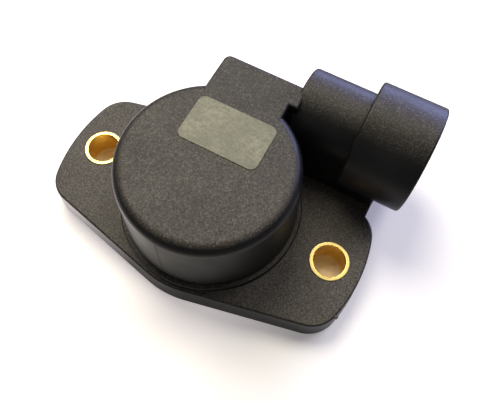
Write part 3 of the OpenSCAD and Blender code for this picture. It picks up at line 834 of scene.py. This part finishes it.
class SENSOR_OT_housing(bpy.types.Operator):
    """Model the housing: flange, drum, arm, socket barrel, collar and block, hollow inside"""

    bl_idname = "sensor.housing"
    bl_label = "Housing"

    def execute(self, context):
        s, f = context.scene.housing_sizes, context.scene.fitting_sizes
        body = flange_outline(s)
        add(body, shelf_corner(s), *drum_solids(s), *arm_solids(s), *socket_solids(s))
        hollow_out(body, s, f)
        half, play = s.hole_spacing * MM / 2, 0.02
        for x in (-half, half):
            cut(body, rod(f.bush_outer * MM + play, -1, s.flange_height * MM + 1, at=(x, 0), steps=96))
        open_socket(body, s)
        for angle in (0, 115, 245):
            add(body, key_rib(s, angle))
        cut(body, *block_pockets(s))
        add(body, parting_line(s), edge_burr(s))
        finish(body, "housing_moulding", "body", ["housing"], FINISHES["black_moulding"])
        return {"FINISHED"}


class SENSOR_OT_bushes(bpy.types.Operator):
    """Model the two turned bushes in the flange's holes"""

    bl_idname = "sensor.bushes"
    bl_label = "Bushes"

    def execute(self, context):
        s, f = context.scene.housing_sizes, context.scene.fitting_sizes
        high = f.bush_height * MM
        bush = rod(f.bush_outer * MM, 0, high, steps=128)
        cut(bush, rod(f.bush_bore * MM, -1, high + 1, steps=128))
        for z in (0, high):
            round_edges(bush, 0.14, 3, at_height(z))
        half = s.hole_spacing * MM / 2
        right = copy_moved(bush, (half, 0, 0))
        make_active(bush)
        bpy.ops.transform.translate(value=(-half, 0, 0))
        settle(bush)
        finish(join([bush, right]), "turned_bushes", "body", ["mount_bushes"], FINISHES["brass"])
        return {"FINISHED"}


class SENSOR_OT_label(bpy.types.Operator):
    """Model the bare foil label on the drum's top"""

    bl_idname = "sensor.label"
    bl_label = "Label"

    def execute(self, context):
        low, high = LABEL_LOW * MM, LABEL_HIGH * MM
        foil = block(low, high)
        round_edges(foil, context.scene.fitting_sizes.label_rounding * MM, 8, upright(0.05))
        round_edges(foil, 0.04, 2, at_height(high.z))
        finish(foil, "bare_label", "body", ["label"], FINISHES["foil"])
        return {"FINISHED"}


class SENSOR_OT_underside(bpy.types.Operator):
    """Model the closure plate and the face seal that show from below"""

    bl_idname = "sensor.underside"
    bl_label = "Closure plate and seal"

    def execute(self, context):
        s, f = context.scene.housing_sizes, context.scene.fitting_sizes
        low, high = PLATE_LOW.z * MM, PLATE_HIGH.z * MM
        plate = rod(s.cavity * MM + PLATE_STEP - PLATE_PLAY, low, high, steps=160)
        inset = TAB_WALL + PLATE_PLAY
        tab = block((s.arm_left * MM + inset, 0, low), (s.arm_right * MM - inset, s.arm_back * MM - inset, high))
        round_edges(tab, 0.3, 3, lambda a, b: upright()(a, b) and a.y > 1)
        add(plate, tab)
        middle, half, seal_top = f.seal_middle * MM, f.seal_width * MM / 2, 1.4
        groove = rod(middle + half + PLATE_PLAY, -1, seal_top + PLATE_PLAY, steps=128)
        cut(groove, rod(middle - half - PLATE_PLAY, -2, 3, steps=128))
        hub, turn_play, seal_space, seal_depth = f.hub * MM, 0.05, 1.44, 1.36
        cut(plate, rod(hub + turn_play, -1, high + 1, steps=128), groove)
        cut(plate, rod(hub + seal_space, high - seal_depth, high + 1, steps=128))
        pin_circle, pin, gate = 12.0, 0.8, 1.1
        for angle in (30, 150, 270):
            x, y = pin_circle * math.cos(math.radians(angle)), pin_circle * math.sin(math.radians(angle))
            cut(plate, rod(pin, -1, low + 0.12, at=(x, y), steps=32))
        cut(plate, rod(gate, -1, low + 0.15, at=((s.arm_left + s.arm_right) * MM / 2, 16.0), steps=32))
        finish(plate, "closure_moulding", "body", ["closure_plate"], FINISHES["dark_plate"])

        seal_low = 0.05
        ring = rod(middle + half, seal_low, seal_top, steps=160)
        cut(ring, rod(middle - half, -1, 3, steps=160))
        round_edges(ring, 0.4, 5, at_height(seal_low))
        line = cut(rod(middle + 0.25, -1, 0.2, steps=128), rod(middle - 0.25, -2, 1, steps=128))
        cut(ring, line)
        finish(ring, "face_seal_ring", "body", ["face_seal"], FINISHES["rubber"])
        return {"FINISHED"}


class SENSOR_OT_rotor(bpy.types.Operator):
    """Model the rotor with its flatted spindle socket"""

    bl_idname = "sensor.rotor"
    bl_label = "Rotor"

    def execute(self, context):
        f = context.scene.fitting_sizes
        hub, spindle, flat = f.hub * MM, f.spindle * MM, f.spindle_flat * MM
        low, high = (corner.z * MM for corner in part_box("rotor"))
        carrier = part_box("wiper_carrier")[0].z * MM
        disc_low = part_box("thrust_washer")[1].z * MM + 0.1
        disc_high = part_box("return_spring")[0].z * MM - 0.4
        disc_radius, journal_radius, socket_depth, lug_angle = 8.4, 2.5, 6.4, -40
        turned = rod(hub, low, carrier, steps=128)
        round_edges(turned, 0.3, 3, at_height(low))
        disc = rod(disc_radius, disc_low, disc_high, steps=128)
        round_edges(disc, 0.15, 2, lambda a, b: abs(a.z - b.z) < NEAR)
        spigot = rod(hub - 1, carrier - 0.5, carrier + 2.35, steps=96)
        journal = rod(journal_radius, carrier + 1.5, high, steps=64)
        round_edges(journal, 0.3, 3, at_height(high))
        lug = block((7.0, -1.3, disc_low), (11.45, 1.3, disc_high))
        round_edges(lug, 0.25, 2, lambda a, b: upright(0.5)(a, b) and a.x > 8)
        add(turned, disc, spigot, journal, turn_piece(lug, lug_angle))
        socket = rod(spindle, -1, socket_depth, steps=96)
        cut(socket, block((flat, -6, -2), (8, 6, 9)))
        lead = rod(spindle + 0.6, -0.5, low + 0.25, end_radius=spindle - 0.2, steps=96)
        cut(lead, block((flat + 0.3, -6, -2), (8, 6, 9)))
        cut(turned, socket, lead)
        finish(turned, "rotor_moulding", "rotor", ["rotor"], FINISHES["natural_plastic"])
        return {"FINISHED"}


class SENSOR_OT_terminals(bpy.types.Operator):
    """Model the three bent terminals with their pointed blades"""

    bl_idname = "sensor.terminals"
    bl_label = "Terminals"

    def execute(self, context):
        s, f = context.scene.housing_sizes, context.scene.fitting_sizes
        thick, half, wide = f.strip_thickness * MM, f.strip_thickness * MM / 2, f.blade_width * MM
        wall_gap, first_bend = 0.5, 0.67
        for i, name in enumerate(("terminal_rear", "terminal_middle", "terminal_front")):
            low, high = (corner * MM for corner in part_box(name))
            y = s.socket_y * MM + (1 - i) * f.blade_pitch * MM
            row = s.arm_back * MM - ARM_WALL - wall_gap - i * BEND_STEP
            jog = s.barrel_start * MM + first_bend + i * BEND_STEP
            z0, z1 = low.z, high.z
            strip = block((low.x, low.y, z0), (low.x + thick, row + half, z1))
            cross = block((low.x, row - half, z0), (jog + half, row + half, z1))
            rise = block((jog - half, min(row, y) - half, z0), (jog + half, max(row, y) + half, z1))
            blade = block((jog - half, y - wide / 2, z0), (high.x, y + wide / 2, z1))
            round_edges(blade, 0.32, 1, lambda a, b: at_x(high.x)(a, b) and abs(a.y - b.y) > 0.5)
            round_edges(blade, 0.4, 3, lambda a, b: at_x(high.x)(a, b) and upright(0.05)(a, b))
            add(strip, cross, rise, blade)
            round_edges(strip, 0.06, 2, lambda a, b: (
                (at_height(z0)(a, b) or at_height(z1)(a, b)) and (a.x + b.x) / 2 > BLADE_START))
            finish(strip, name + "_strip", "body", [name], FINISHES["tinned"])
        return {"FINISHED"}


class SENSOR_OT_works(bpy.types.Operator):
    """Give the inner works, kept as packed, their finishes"""

    bl_idname = "sensor.works"
    bl_label = "Inner works"

    def execute(self, context):
        replaced = {"housing", "mount_bushes", "label", "closure_plate", "face_seal", "rotor",
                    "terminal_rear", "terminal_middle", "terminal_front"}
        for part in frame["record"]["subparts"]:
            if part["node"] in replaced:
                continue
            mesh = frame["nodes"][part["node"]].data
            mesh.materials.clear()
            mesh.materials.append(FINISHES[part["material_slot"]])
        return {"FINISHED"}


# Studio


# Places and distances in metres
GROUND = -0.0001  # height of the floor, just under the mounting face
HOLE_RIM = (0.0029, 0.0033)  # radii between which a hole's ground gives way to the open floor
MIRROR_EDGE = (0.036, 0.052)  # distances over which the floor fades out of reflections
CAMERA_EYE = Vector((0.02102887, -0.02977594, 0.08948979))
CAMERA_AIM = Vector((0.00485910, 0.00560365, 0.0))
CAMERA_ROLL = 0.0625088
LAMPS = (  # name, setting of its power, place, aim, width and height, tint
    ("key", "key_power", (-0.30, 0.28, 0.55), (0, 0, 0.005), (0.46, 0.46), (1.0, 0.93, 0.79)),
    ("fill", "fill_power", (0.14, 0.36, 0.56), (0, 0, 0.005), (0.30, 0.30), (1.0, 0.95, 0.86)),
    ("cool", "cool_power", (0.16, 0.58, 0.12), (0.01, 0.01, 0.02), (0.70, 0.24), (0.45, 0.50, 1.0)),
    ("below", "below_power", (0.05, -0.12, -0.40), (0, 0, 0), (0.40, 0.40), (1.0, 0.98, 0.95)))


def area_lamp(name, place, target, size, power, tint):
    data = bpy.data.lights.new(name, "AREA")
    data.shape = "ELLIPSE" if size[0] == size[1] else "RECTANGLE"
    data.size, data.size_y = size
    data.energy = power
    data.color = tint
    lamp = bpy.data.objects.new(name, data)
    lamp.location = place
    lamp.rotation_euler = (Vector(target) - Vector(place)).to_track_quat("-Z", "Y").to_euler()
    lamp.visible_camera = False
    bpy.context.scene.collection.objects.link(lamp)


def within(tree, x, y, low, high):
    """1 inside a rectangle on the floor."""
    sides = []
    for value, a, b in ((x, low[0], high[0]), (y, low[1], high[1])):
        away = math_node(tree, "ABSOLUTE", math_node(tree, "SUBTRACT", value, (a + b) / 2))
        sides.append(math_node(tree, "LESS_THAN", away, (b - a) / 2))
    return math_node(tree, "MULTIPLY", *sides)


def under_the_part(tree, x, y, s):
    """1 where the part covers the floor, a little inside its outline, so that the lamp below can reach it."""
    inset, slope = 0.0006, (s.side_slope + s.back_slope) / 2
    flat = node(tree, "ShaderNodeCombineXYZ", {0: x, 1: y})
    radius = node(tree, "ShaderNodeVectorMath", {0: flat.outputs[0]}, operation="LENGTH").outputs["Value"]
    reach = math_node(tree, "MULTIPLY", math_node(tree, "ABSOLUTE", y), math.cos(slope))
    reach = math_node(tree, "MULTIPLY_ADD", math_node(tree, "ABSOLUTE", x), math.sin(slope), reach)
    ends = math_node(tree, "LESS_THAN", radius, s.end_radius - 2 * inset)
    flange = math_node(tree, "MULTIPLY", ends, math_node(tree, "LESS_THAN", reach, s.waist_radius - inset))
    arm = within(tree, x, y, (s.arm_left + inset, 0.0), (s.arm_right - inset, s.arm_back - inset))
    base = within(tree, x, y, (s.barrel_start, s.socket_y - s.barrel + inset),
                  (s.shelf - inset, s.socket_y + s.barrel - inset))
    return math_node(tree, "MAXIMUM", flange, math_node(tree, "MAXIMUM", arm, base))


def floor_colour(tree, parts, far, mirrored, open_floor, colours):
    """Near white towards the lamps and darker away from them, a painted shade; painted warm shade under the holes;
    and dark where it is mirrored from far off.
    """
    # painted shade: the floor's colour darkens from the lamps' side to the far side
    slant = math_node(
        tree, "SUBTRACT", math_node(tree, "MULTIPLY", parts.outputs["X"], 0.6), parts.outputs["Y"])
    base = blend_colour(
        tree, spread(tree, slant, -0.02, 0.05), tuple(colours.floor_lit), tuple(colours.floor))
    # painted shade: warm, darker ground inside the holes
    base = blend_colour(tree, open_floor, tuple(colours.ground), base)
    dim = math_node(tree, "MULTIPLY", mirrored, spread(tree, far, *MIRROR_EDGE, 0.0, 0.7))
    return blend_colour(tree, dim, base, BLACK)


def floor_light(tree, parts, far, path, open_floor, strength):
    """What the floor adds where it is seen or mirrored, and nothing to the light on the part's dull faces: painted
    light on the floor, stronger on the left, and a painted reflection on the part from a band on the left.
    """
    # painted reflection: a band of floor left of the part glows only for glossy rays, lighting up the part's left
    # walls and edges
    sheen = math_node(tree, "MULTIPLY", spread(tree, parts.outputs["X"], -0.008, -0.026, 0.5, 9.0),
                      spread(tree, far, *MIRROR_EDGE, 1.0, 0.08))
    sheen = math_node(tree, "MULTIPLY", path.outputs["Is Glossy Ray"], sheen)
    # painted light and shade: the glow seen is stronger on the left than on the right; far off it rises to white
    seen = math_node(tree, "ADD", spread(tree, parts.outputs["X"], 0.008, 0.024, 1.65, 0.75),
                     spread(tree, far, 0.12, 0.9, 0.0, 6.0))
    seen = math_node(tree, "MULTIPLY", path.outputs["Is Camera Ray"], seen)
    glow = math_node(tree, "MULTIPLY", math_node(tree, "MAXIMUM", seen, sheen), strength)
    return math_node(tree, "MULTIPLY", glow, open_floor)


def floor_finish(scene):
    """Pale paper, clear from below and where the part covers it, so that the lamp below lights the underside."""
    made, tree, shader = new_finish("Studio floor")
    place = node(tree, "ShaderNodeTexCoord").outputs["Object"]
    parts = node(tree, "ShaderNodeSeparateXYZ", {0: place})
    far = node(tree, "ShaderNodeVectorMath", {0: place}, operation="LENGTH").outputs["Value"]
    path = node(tree, "ShaderNodeLightPath")
    holes = grouped(tree, "Turned rings", {"Offset": scene.housing_sizes.hole_spacing / 2})
    open_floor = spread(tree, holes.outputs["Radius"], *HOLE_RIM)
    base = floor_colour(tree, parts, far, path.outputs["Is Glossy Ray"], open_floor, scene.finish_colours)
    connect(tree, shader, base, spread(tree, noise(tree, place, 300.0, 3.0), 0.3, 0.7, 0.75, 0.9))
    shader.inputs["Specular IOR Level"].default_value = 0.2
    # the glow's pink tint shows most in the floor's shadows, a painted tint of shade
    shader.inputs["Emission Color"].default_value = (1.0, 0.91, 0.92, 1.0)
    glow = floor_light(tree, parts, far, path, open_floor, scene.studio_settings.floor_glow)
    tree.links.new(glow, shader.inputs["Emission Strength"])

    under = under_the_part(tree, parts.outputs["X"], parts.outputs["Y"], scene.housing_sizes)
    under = math_node(tree, "MULTIPLY", under, open_floor)
    back = node(tree, "ShaderNodeNewGeometry").outputs["Backfacing"]
    clear = node(tree, "ShaderNodeBsdfTransparent")
    mixed = node(tree, "ShaderNodeMixShader", {
        0: math_node(tree, "MAXIMUM", back, under), 1: shader.outputs[0], 2: clear.outputs[0]})
    tree.links.new(mixed.outputs[0], tree.nodes["Material Output"].inputs["Surface"])
    return made


def add_sky(scene):
    """Even light from all round, seen as white."""
    world = bpy.data.worlds.new("Sky")
    world.use_nodes = True
    scene.world = world
    sky = world.node_tree
    path = node(sky, "ShaderNodeLightPath")
    back = sky.nodes["Background"]
    back.inputs["Color"].default_value = (1.0, 1.0, 1.0, 1.0)
    strength = spread(sky, path.outputs["Is Camera Ray"], 0.0, 1.0, scene.studio_settings.sky, 1.0)
    sky.links.new(strength, back.inputs["Strength"])


def add_camera(scene):
    """The camera, aimed and rolled."""
    look = (CAMERA_AIM - CAMERA_EYE).normalized()
    side = look.cross(Vector((0, 0, 1))).normalized()
    up = side.cross(look)
    right = math.cos(CAMERA_ROLL) * side + math.sin(CAMERA_ROLL) * up
    over = -math.sin(CAMERA_ROLL) * side + math.cos(CAMERA_ROLL) * up
    data = bpy.data.cameras.new("camera")
    data.sensor_fit = "HORIZONTAL"
    data.sensor_width = 36.0
    data.lens = scene.studio_settings.lens
    data.clip_start = 0.001
    data.clip_end = 10.0
    camera = bpy.data.objects.new("camera", data)
    rows = [(right[i], over[i], -look[i], CAMERA_EYE[i]) for i in range(3)]
    camera.matrix_world = Matrix((*rows, (0, 0, 0, 1)))
    scene.collection.objects.link(camera)
    scene.camera = camera


class SENSOR_OT_studio(bpy.types.Operator):
    """Set up the pale floor, the lamps, the sky and the camera"""

    bl_idname = "sensor.studio"
    bl_label = "Studio"

    def execute(self, context):
        scene = context.scene
        to_object_mode()
        bpy.ops.mesh.primitive_circle_add(vertices=96, radius=1.6, fill_type="NGON", location=(0, 0, GROUND))
        floor = bpy.context.object
        floor.name = "floor"
        settle(floor)
        floor.data.materials.append(floor_finish(scene))
        for name, power, place, aim, size, tint in LAMPS:
            area_lamp(name, place, aim, size, getattr(scene.studio_settings, power), tint)
        add_sky(scene)
        add_camera(scene)
        scene.view_settings.view_transform = "Standard"
        return {"FINISHED"}


class SENSOR_PT_panel(bpy.types.Panel):
    """Lists the pieces, the sizes and the colours"""

    bl_idname = "SENSOR_PT_panel"
    bl_label = "Throttle sensor"
    bl_space_type = "VIEW_3D"
    bl_region_type = "UI"
    bl_category = "Sensor"

    def draw(self, context):
        for operator in OPERATORS:
            self.layout.operator(operator.bl_idname)
        for name in SETTINGS:
            group = getattr(context.scene, name)
            box = self.layout.box()
            for key in group.__annotations__:
                box.prop(group, key)


OPERATORS = (SENSOR_OT_housing, SENSOR_OT_bushes, SENSOR_OT_label, SENSOR_OT_underside, SENSOR_OT_rotor,
             SENSOR_OT_terminals, SENSOR_OT_works, SENSOR_OT_studio)
SETTINGS = {"housing_sizes": HousingSizes, "fitting_sizes": FittingSizes, "finish_colours": FinishColours,
            "studio_settings": StudioSettings}


def register():
    for group in SETTINGS.values():
        bpy.utils.register_class(group)
    for name, group in SETTINGS.items():
        setattr(bpy.types.Scene, name, bpy.props.PointerProperty(type=group))
    for operator in OPERATORS:
        bpy.utils.register_class(operator)
    bpy.utils.register_class(SENSOR_PT_panel)


def unregister():
    bpy.utils.unregister_class(SENSOR_PT_panel)
    for operator in reversed(OPERATORS):
        bpy.utils.unregister_class(operator)
    for name, group in SETTINGS.items():
        delattr(bpy.types.Scene, name)
        bpy.utils.unregister_class(group)


def main():
    """Registers the add-on's classes, makes the finishes, the pieces and the studio."""
    register()
    make_finishes()
    bpy.ops.sensor.housing()
    bpy.ops.sensor.bushes()
    bpy.ops.sensor.label()
    bpy.ops.sensor.underside()
    bpy.ops.sensor.rotor()
    bpy.ops.sensor.terminals()
    bpy.ops.sensor.works()
    bpy.ops.sensor.studio()


if __name__ == "__main__":
    main()
